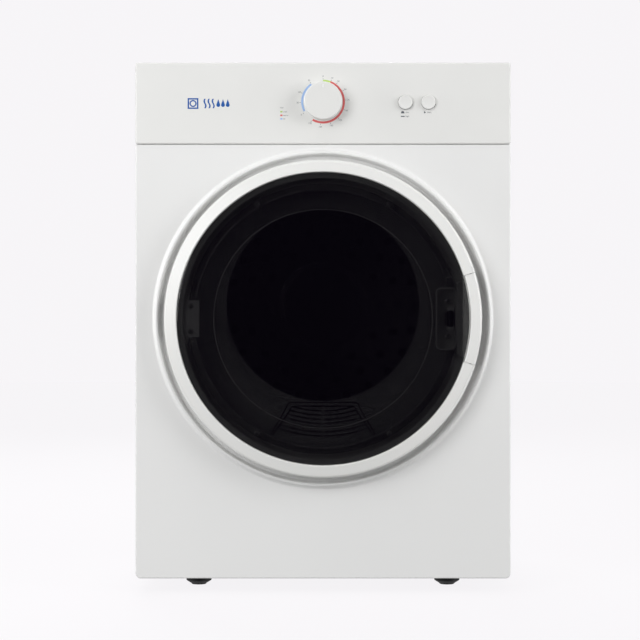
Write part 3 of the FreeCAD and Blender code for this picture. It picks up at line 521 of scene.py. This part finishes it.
def heat_wave(x, z):
    """A wavy upright band, as on the drying marks of textile labels."""
    half = WAVE_WIDTH / 2
    middle = []
    for i in range(WAVE_STEPS + 1):
        t = i / WAVE_STEPS
        middle.append((x + WAVE_SWING * math.sin(2 * math.pi * t), z + WAVE_HEIGHT * (t - 0.5)))
    outlines = []
    for (ax, az), (bx, bz) in zip(middle, middle[1:]):
        outlines.append([(ax - half, az), (ax + half, az), (bx + half, bz), (bx - half, bz)])
    return outlines


def water_drop(x, z):
    """A round belly with a point over it."""
    belly = [polar(DROP_R, degrees) for degrees in range(160, 381, 10)]
    return [(x + dx, z + dz) for dx, dz in belly] + [(x, z + DROP_TIP)]


def badge_print():
    """Generic drying pictograms: a drum in a square, three heat waves and three drops."""
    x, z = BADGE_X, BADGE_Z
    face_mesh("badge_drum_square", hollow_square(x, z, BADGE_SIDE, BADGE_WALL), BADGE_BLUE)
    face_mesh("badge_drum_ring", ring_band(x, z, BADGE_RING_IN_R, BADGE_RING_OUT_R), BADGE_BLUE)
    for i in range(BADGE_COUNT):
        wave = heat_wave(WAVE_X + WAVE_PITCH * i, z)
        face_mesh("badge_wave_%d" % i, wave, BADGE_BLUE)
    for i in range(BADGE_COUNT):
        drop = water_drop(DROP_X + DROP_PITCH * i, z - DROP_FALL)
        face_mesh("badge_drop_%d" % i, [drop], BADGE_BLUE)


# Door glass, and a white wire that paints the highlight on the bowl's edge ------------------

BOWL_HIGHLIGHT_R = 172.4 * MM
BOWL_HIGHLIGHT_Y = -258.5 * MM
LINE_WIRE_R = 0.8 * MM
GLASS_WALL = 3 * MM
DOME_STEPS = 32


def hoop(name, radius, wire, y, slot, body, around=128, sides=8):
    """A thin round wire about the door's middle, in a plane that faces the front."""
    build = bmesh.new()
    rows = []
    for i in range(around):
        a = 360 * i / around
        row = []
        for j in range(sides):
            out, forward = polar(wire, 360 * j / sides)
            dx, dz = polar(radius + out, a)
            row.append(build.verts.new((dx, y + forward, DOOR_Z + dz)))
        rows.append(row)
    for i in range(around):
        here, there = rows[i], rows[(i + 1) % around]
        for j in range(sides):
            build.faces.new((here[j], there[j], there[(j + 1) % sides], here[(j + 1) % sides]))
    round_off(build)
    add_slotted(name, bake(build, name), slot, body)


def lathe(name, profile, z, slot, body, around=192):
    """A closed turned piece from (radius, y) points that start and end on its axis."""
    build = bmesh.new()
    rows = []
    for r, y in profile:
        count = around if r > 0 else 1
        offsets = [polar(r, 360 * i / around) for i in range(count)]
        rows.append([build.verts.new((dx, y, z + dz)) for dx, dz in offsets])
    for near, far in zip(rows, rows[1:]):
        for i in range(around):
            j = (i + 1) % around
            if len(near) == 1:
                build.faces.new((near[0], far[i], far[j]))
            elif len(far) == 1:
                build.faces.new((near[i], far[0], near[j]))
            else:
                build.faces.new((near[i], far[i], far[j], near[j]))
    round_off(build)
    return add_slotted(name, bake(build, name), slot, body)


def glazed_cover():
    """The domed smoked cover with its edges broken, in place of the sharp-edged CAD one."""
    radius = (COVER_HIGH.x - COVER_LOW.x) / 2
    crown, back = COVER_LOW.y, COVER_HIGH.y
    lip = back - GLASS_WALL
    rise = lip - crown
    ball = (radius ** 2 + rise ** 2) / (2 * rise)
    dome = []
    for i in range(DOME_STEPS + 1):
        r = (radius - 0.9 * MM) * i / DOME_STEPS
        dome.append((r, crown + ball - math.sqrt(ball ** 2 - r ** 2)))
    rim = [
        (radius - 0.35 * MM, lip + 0.1 * MM), (radius - 0.05 * MM, lip + 0.4 * MM),
        (radius, lip + 0.9 * MM), (radius, back - 0.5 * MM), (radius - 0.4 * MM, back),
    ]
    inside = [(r, y + GLASS_WALL) for r, y in reversed(dome)]
    cover = lathe("cover_glazing", dome + rim + inside, DOOR_Z, "smoked_cover", "door")
    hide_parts("door_cover")


# Air inlet and filter grille -------------------------------------------------------------------

GAUZE_IN_R = 61 * MM
GAUZE_OUT_R = 226 * MM
GAUZE_Y = 260.8 * MM
GRILLE_Y = -206.3 * MM
GRILLE_FOOT_Z = 234 * MM
GRILLE_TOP_Z = 300 * MM
GRILLE_FOOT_HALF = 92 * MM
GRILLE_TOP_HALF = 54 * MM
GRILLE_BEND = 7 * MM
GRILLE_STEPS = 24
GRILLE_LINE_GAP = 6 * MM
BEND_STEPS = 6
DISH_R = 205 * MM


def gauze(name, r_in, r_out, y, z, slot, body, around=72):
    """A flat ring of woven gauze behind the air inlet."""
    build = bmesh.new()
    rows = []
    for i in range(around):
        offsets = [polar(r, 360 * i / around) for r in (r_in, r_out)]
        rows.append([build.verts.new((dx, y, z + dz)) for dx, dz in offsets])
    for i in range(around):
        here, there = rows[i], rows[(i + 1) % around]
        build.faces.new((here[0], here[1], there[1], there[0]))
    add_slotted(name, bake(build, name), slot, body)


def bead(name, points, radius, slot, body):
    """A round bead that follows a line of points."""
    curve = bpy.data.curves.new(name, "CURVE")
    curve.dimensions = "3D"
    curve.bevel_depth = radius
    curve.bevel_resolution = 3
    line = curve.splines.new("POLY")
    line.points.add(len(points) - 1)
    for place, point in zip(line.points, points):
        place.co = (*point, 1.0)
    add_slotted(name, curve, slot, body)


def grille_shade_border(name, grow):
    """The two slanted sides and the top of the filter grille's field, as a raised line in dark
    plastic. The real border is white, so the dark colour is painted shade along it.
    """
    low, high = GRILLE_FOOT_Z - grow, GRILLE_TOP_Z + grow
    wide, narrow = GRILLE_FOOT_HALF + grow, GRILLE_TOP_HALF + grow
    slope = (wide - narrow) / (high - low)
    side = []
    for i in range(GRILLE_STEPS + 1):
        z = low + (high - GRILLE_BEND - low) * i / GRILLE_STEPS
        x = wide - slope * (z - low)
        if math.hypot(x, z - DOOR_Z) < DISH_R:
            side.append((x, z))
    corner_x, corner_z = side[-1]
    for i in range(1, BEND_STEPS + 1):
        dx, dz = polar(GRILLE_BEND, 90 * i / BEND_STEPS)
        side.append((corner_x - GRILLE_BEND + dx, corner_z + dz))
    points = [(x, GRILLE_Y, z) for x, z in side] + [(-x, GRILLE_Y, z) for x, z in reversed(side)]
    # the dark plastic paints the shade that falls along the grille's raised white border
    bead(name, points, LINE_WIRE_R, "dark_plastic", "cabinet")


# Stage -----------------------------------------------------------------------------------------

ROOM_COLOR = (0.93, 0.915, 0.935, 1.0)
FLOOR_HALF = 10.0
FLOOR_GAP = 0.5 * MM
AIM = (0, -0.2, 0.45)
RIM_AIM = (0, -0.2, 0.42)
LAMPS = (
    ("softbox_left", (-2.0, -2.6, 1.5), AIM, 68, 1.7, 2.3),
    ("softbox_right", (2.6, -1.7, 1.2), AIM, 38, 1.2, 2.1),
    ("rim_left", (-3.0, -0.7, 0.9), RIM_AIM, 20, 0.5, 1.8),
    ("rim_right", (3.0, -0.7, 0.9), RIM_AIM, 22, 0.5, 1.8),
    ("overhead", (0.0, -1.2, 3.2), (0, -0.1, 0.4), 9, 2.4, 1.4),
    ("back_fill", (-0.6, 3.0, 2.2), (0, 0.2, 0.4), 46, 2.2, 1.6),
)
CAMERA_PLACE = (-4.8 * MM, -3.243, 432 * MM)
LENS = 106.5
SENSOR_WIDTH = 36.0


def stage_floor():
    build = bmesh.new()
    bmesh.ops.create_grid(build, x_segments=1, y_segments=1, size=FLOOR_HALF)
    mesh = bake(build, "floor")
    floor = bpy.data.objects.new("floor", mesh)
    floor.location = (0, 0, -FLOOR_GAP)
    bpy.context.scene.collection.objects.link(floor)
    s = Shader("studio_floor", (0.018, 0.018, 0.018), 0.9)
    s.put("Emission Color", ROOM_COLOR)
    s.put("Emission Strength", 0.95)
    mesh.materials.append(s.mat)
    floor.visible_glossy = False
    floor.visible_diffuse = False


def lamp(name, place, aim, power, wide, tall):
    data = bpy.data.lights.new(name, "AREA")
    data.shape = "RECTANGLE"
    data.size = wide
    data.size_y = tall
    data.energy = power
    made = bpy.data.objects.new(name, data)
    made.location = place
    made.rotation_euler = (Vector(aim) - Vector(place)).to_track_quat("-Z", "Y").to_euler()
    bpy.context.scene.collection.objects.link(made)


def dim_ahead(tree):
    """The strength of the room's light: dark straight ahead of the object, even elsewhere."""
    coords = tree.nodes.new("ShaderNodeTexCoord")
    split = tree.nodes.new("ShaderNodeSeparateXYZ")
    ramp = tree.nodes.new("ShaderNodeMapRange")
    ramp.inputs["From Min"].default_value = -0.98
    ramp.inputs["From Max"].default_value = -0.80
    ramp.inputs["To Min"].default_value = 0.02
    ramp.inputs["To Max"].default_value = 0.50
    tree.links.new(coords.outputs["Generated"], split.inputs["Vector"])
    tree.links.new(split.outputs["Y"], ramp.inputs["Value"])
    return ramp.outputs["Result"]


def sky():
    """A pale room as the backdrop, and a dimmer one that is dark straight ahead for the light."""
    world = bpy.data.worlds.new("studio")
    bpy.context.scene.world = world
    world.use_nodes = True
    tree = world.node_tree
    tree.nodes.clear()
    out = tree.nodes.new("ShaderNodeOutputWorld")
    mix = tree.nodes.new("ShaderNodeMixShader")
    seen = tree.nodes.new("ShaderNodeBackground")
    seen.inputs["Color"].default_value = ROOM_COLOR
    lit = tree.nodes.new("ShaderNodeBackground")
    path = tree.nodes.new("ShaderNodeLightPath")
    tree.links.new(dim_ahead(tree), lit.inputs["Strength"])
    tree.links.new(path.outputs["Is Camera Ray"], mix.inputs["Fac"])
    tree.links.new(lit.outputs["Background"], mix.inputs[1])
    tree.links.new(seen.outputs["Background"], mix.inputs[2])
    tree.links.new(mix.outputs["Shader"], out.inputs["Surface"])


def camera():
    data = bpy.data.cameras.new("camera")
    data.lens = LENS
    data.sensor_width = SENSOR_WIDTH
    made = bpy.data.objects.new("camera", data)
    made.location = CAMERA_PLACE
    made.rotation_euler = (math.radians(90), 0, 0)
    bpy.context.scene.collection.objects.link(made)
    bpy.context.scene.camera = made


bpy.context.scene.view_settings.view_transform = "Standard"
paint_nodes()
dial_print()
pointer_print()
legend_print()
button_print()
badge_print()
# a white wire on the bowl's real edge, whose light colour is a painted highlight along that edge
hoop("bowl_edge_highlight", BOWL_HIGHLIGHT_R, LINE_WIRE_R, BOWL_HIGHLIGHT_Y, "white_gloss", "door")
glazed_cover()
# two dark beads that paint the shade along the grille's raised border
grille_shade_border("grille_shade_line_outer", 0)
grille_shade_border("grille_shade_line_inner", -GRILLE_LINE_GAP)
gauze("intake_gauze", GAUZE_IN_R, GAUZE_OUT_R, GAUZE_Y, DRUM_Z, "mesh", "cabinet")
stage_floor()
sky()
for lamp_values in LAMPS:
    lamp(*lamp_values)
camera()
